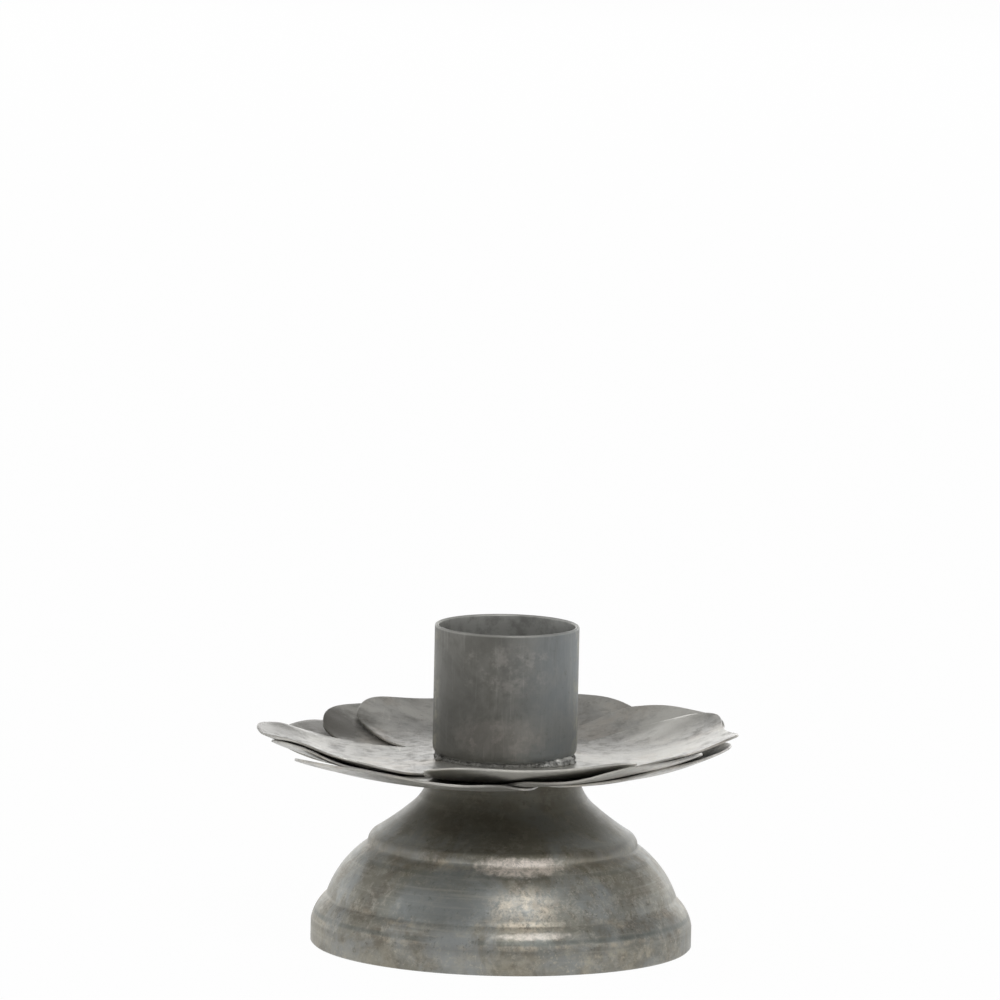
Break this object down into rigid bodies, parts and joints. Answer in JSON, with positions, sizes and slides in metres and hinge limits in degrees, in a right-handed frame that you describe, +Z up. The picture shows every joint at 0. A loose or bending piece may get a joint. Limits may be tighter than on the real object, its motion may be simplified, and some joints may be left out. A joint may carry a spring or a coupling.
{
  "type": "candle holder",
  "caption": "Low candle holder: a straight cup on nested rosettes of rolled, notched petals, over a stepped round bell base.",
  "frame": {"origin": "centre of the base's foot, on the surface it stands on", "axes": "+Z up along the cup's axis; -Y towards the side the picture shows; +X to the right in the picture"},
  "size_m": [0.0847, 0.0851, 0.0567],
  "materials": {
    "aged_base_metal": "aged, darkened plated sheet with pale scuffs",
    "petal_metal": "satin grey plated sheet with fine scratches",
    "cup_metal": "satin dark grey plated sheet, streaked",
    "solder": "bright wrinkled solder",
    "fastener_steel": "plain zinc-plated steel"
  },
  "bodies": {
    "root": {"base_bell": "aged_base_metal", "lower_petals": "petal_metal", "middle_petals": "petal_metal", "upper_petals": "petal_metal", "candle_cup": "cup_metal", "solder_bead": "solder", "centre_screw": "fastener_steel", "washer": "fastener_steel", "hex_nut": "fastener_steel"}
  },
  "joints": []
}
